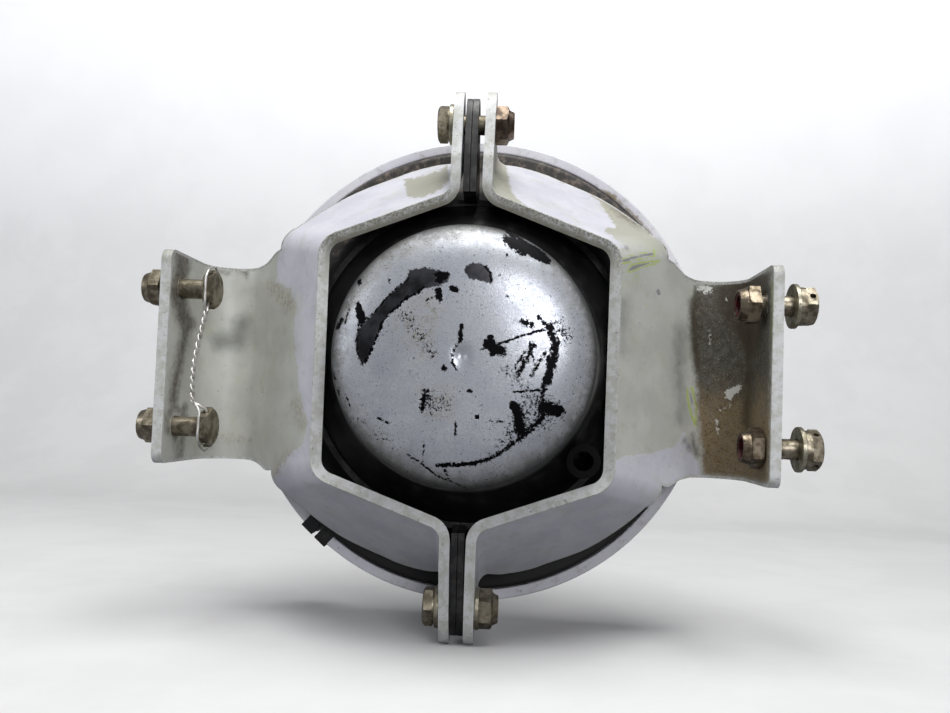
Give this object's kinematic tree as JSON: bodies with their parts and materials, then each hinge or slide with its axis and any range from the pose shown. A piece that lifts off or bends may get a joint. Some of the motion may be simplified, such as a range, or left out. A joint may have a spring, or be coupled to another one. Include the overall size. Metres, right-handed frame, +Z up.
{
  "type": "aircraft landing light",
  "caption": "Sealed-beam landing light in a domed housing, held by a two-piece hexagonal bracket with a bolting flange on each side.",
  "frame": {"origin": "on the beam axis, in the plane of the axes of the mounting bolts", "axes": "+Y along the beam, out of the lens; X across the two mounting flanges; Z up"},
  "size_m": [0.2147, 0.0844, 0.1795],
  "materials": {
    "bracket_paint_left": "worn satin paint over greenish grey primer",
    "bracket_paint_right": "worn satin paint over greenish grey primer",
    "band_steel": "dark oxidised steel",
    "housing_paint": "aluminium paint worn off black",
    "black_rubber": "matt",
    "plated_steel": "dull yellow plating",
    "plated_washer": "dull yellow plating",
    "plated_nut": "brownish plating",
    "copper_nut": "copper plating, browned",
    "lock_wire": "bright wire",
    "red_insert": "dyed fibre",
    "ring_paint": "satin white paint",
    "black_steel": "black finish",
    "lamp_mirror": "aluminised glass",
    "lamp_glass": "clear pressed glass",
    "tungsten": "bare",
    "nickel_wire": "bare",
    "ferrule_steel": "bare",
    "terminal_brass": "bare"
  },
  "bodies": {
    "light": {"bracket_left": "bracket_paint_left", "bracket_right": "bracket_paint_right", "clamp_band_left": "band_steel", "clamp_band_right": "band_steel", "housing_shell": "housing_paint", "cable_grommet": "black_rubber", "upper_clamp_bolt": "plated_steel", "upper_clamp_washer": "plated_washer", "upper_clamp_nut": "copper_nut", "lower_clamp_bolt": "plated_steel", "lower_clamp_washers": "plated_washer", "lower_clamp_nut": "plated_steel", "rim_gasket": "black_rubber"},
    "left_bolts": {"left_mount_bolts": "plated_steel", "left_mount_nuts": "plated_steel", "safety_wire": "lock_wire"},
    "right_upper_fastener": {"right_upper_bolt": "plated_steel", "right_upper_washer": "plated_washer", "right_upper_nut": "plated_nut", "right_upper_insert": "red_insert"},
    "right_lower_fastener": {"right_lower_bolt": "plated_steel", "right_lower_washer": "plated_washer", "right_lower_nut": "plated_nut", "right_lower_insert": "red_insert"},
    "ring": {"retaining_ring": "ring_paint", "ring_lug_left": "black_steel", "ring_lug_right": "black_steel", "ring_tension_nut": "plated_steel"},
    "tension_screw": {"ring_tension_screw": "plated_steel"},
    "lamp": {"lamp_reflector": "lamp_mirror", "lamp_lens": "lamp_glass", "filament": "tungsten", "filament_supports": "nickel_wire", "contact_ferrules": "ferrule_steel", "lamp_terminals": "terminal_brass", "terminal_screws": "terminal_brass"}
  },
  "joints": [
    {"name": "left_bolts_slide", "type": "slide", "parent": "light", "child": "left_bolts", "axis": [-1, 0, 0], "range_m": [-0.0013, 0.005]},
    {"name": "right_upper_bolt_slide", "type": "slide", "parent": "light", "child": "right_upper_fastener", "axis": [-1, 0, 0], "range_m": [-0.0021, 0.0048]},
    {"name": "right_lower_bolt_slide", "type": "slide", "parent": "light", "child": "right_lower_fastener", "axis": [-1, 0, 0], "range_m": [-0.0004, 0.0069]},
    {"name": "ring_off", "type": "slide", "parent": "light", "child": "ring", "axis": [0, 1, 0], "range_m": [0, 0.16]},
    {"name": "lamp_out", "type": "slide", "parent": "light", "child": "lamp", "axis": [0, 1, 0], "range_m": [0, 0.08]},
    {"name": "tension_screw_turn", "type": "hinge", "parent": "ring", "child": "tension_screw", "pos_m": [-0.05341, 0.0529, -0.06037], "axis": [0.749, 0, -0.6626], "continuous": true}
  ],
  "couplings": [
    {"joint": "lamp_out", "follows": "ring_off", "ratio": 0.5}
  ]
}
